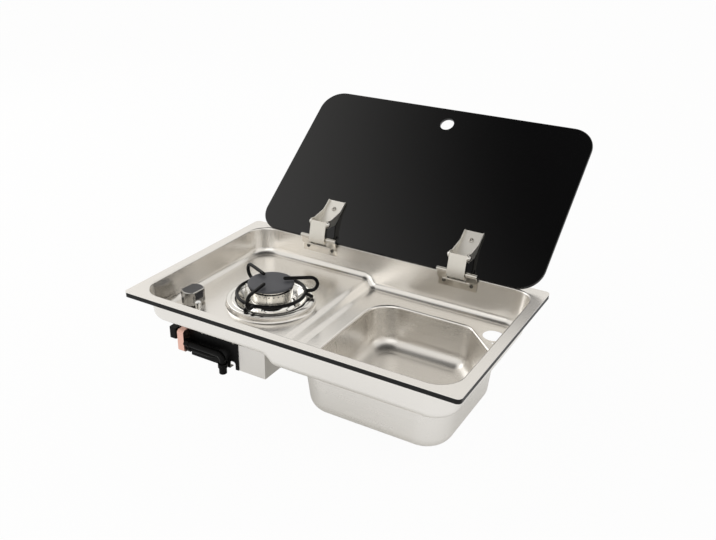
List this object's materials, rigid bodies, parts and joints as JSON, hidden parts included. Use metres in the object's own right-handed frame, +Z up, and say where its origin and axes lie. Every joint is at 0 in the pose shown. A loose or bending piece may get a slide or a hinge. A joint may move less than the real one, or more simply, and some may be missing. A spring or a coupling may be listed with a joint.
{
  "type": "rv sink and stove combo",
  "caption": "Drop-in stainless sink beside a gas burner in one pressed recess, under a hinged dark glass lid, with gas tap, pan support and waste fitting.",
  "frame": {"origin": "middle of the rim on the worktop plane, which is the underside of the rim seal", "axes": "+Z up, +X towards the sink end, +Y towards the hinges"},
  "size_m": [0.6, 0.6149, 0.4187],
  "materials": {
    "satin_stainless": "satin",
    "polished_steel": "polished",
    "rim_rubber": "matt",
    "gasket_rubber": "matt",
    "drain_plastic": "matt",
    "cast_aluminium": "cast",
    "dark_enamel": "matt enamel",
    "black_wire": "satin enamel",
    "black_metal": "satin",
    "brass_fitting": "machined",
    "copper_block": "machined",
    "ceramic": "glazed",
    "probe_steel": "satin",
    "knob_chrome": "polished",
    "black_plastic": "satin",
    "lid_glass": "dark back-printed",
    "hinge_steel": "satin nickel",
    "fastener_steel": "zinc plated"
  },
  "bodies": {
    "tray": {"top_deck": "satin_stainless", "rim_seal": "rim_rubber", "sink_bowl": "satin_stainless", "drain_flange": "polished_steel", "drain_gasket": "gasket_rubber", "drain_nut": "drain_plastic", "drain_body": "drain_plastic", "drip_ring": "polished_steel", "burner_base": "cast_aluminium", "burner_base_screws": "fastener_steel", "injector": "brass_fitting", "burner_crown": "polished_steel", "burner_cap": "dark_enamel", "thermocouple": "probe_steel", "spark_electrode": "ceramic", "spark_wire": "probe_steel", "pan_support": "black_wire", "burner_guard": "satin_stainless", "valve_plate": "black_metal", "valve_plate_screws": "fastener_steel", "valve_body": "black_metal", "knob_bezel": "gasket_rubber", "gas_block": "copper_block", "pipe_nuts": "black_metal", "inlet_pipe": "black_metal", "inlet_nozzle": "black_metal", "feed_pipe": "black_metal", "igniter_body": "black_plastic", "igniter_nut": "black_plastic", "hinge_base_screws": "fastener_steel", "hinge_base_left": "hinge_steel", "hinge_pin_left": "fastener_steel", "hinge_base_right": "hinge_steel", "hinge_pin_right": "fastener_steel"},
    "lid": {"lid_glass": "lid_glass", "bracket_pads": "gasket_rubber", "lid_screws": "fastener_steel", "lid_caps": "black_plastic", "hinge_rivets": "fastener_steel", "lid_bracket_left": "hinge_steel", "lid_bracket_right": "hinge_steel", "hinge_arm_left": "hinge_steel", "hinge_arm_right": "hinge_steel"},
    "plug": {"valve_plug": "brass_fitting"},
    "knob": {"valve_spindle": "fastener_steel", "control_knob": "knob_chrome", "knob_inlay": "black_plastic"},
    "igniter": {"igniter_button": "knob_chrome"},
    "strainer": {"drain_strainer": "polished_steel"}
  },
  "joints": [
    {"name": "lid_hinge", "type": "hinge", "parent": "tray", "child": "lid", "pos_m": [0, 0.159, 0.016], "axis": [1, 0, 0], "range_deg": [0, 143.4]},
    {"name": "knob_turn", "type": "hinge", "parent": "tray", "child": "plug", "pos_m": [-0.243, -0.082, -0.05], "axis": [0, 0, 1], "range_deg": [0, 180]},
    {"name": "knob_push", "type": "slide", "parent": "plug", "child": "knob", "axis": [0, 0, -1], "range_m": [0, 0.003], "stiffness_N_per_m": 600, "springref_m": -0.006},
    {"name": "igniter_push", "type": "slide", "parent": "tray", "child": "igniter", "axis": [0, 0, -1], "range_m": [0, 0.004], "stiffness_N_per_m": 500, "springref_m": -0.004},
    {"name": "strainer_lift", "type": "slide", "parent": "tray", "child": "strainer", "axis": [0, 0, 1], "range_m": [0, 0.04]}
  ]
}
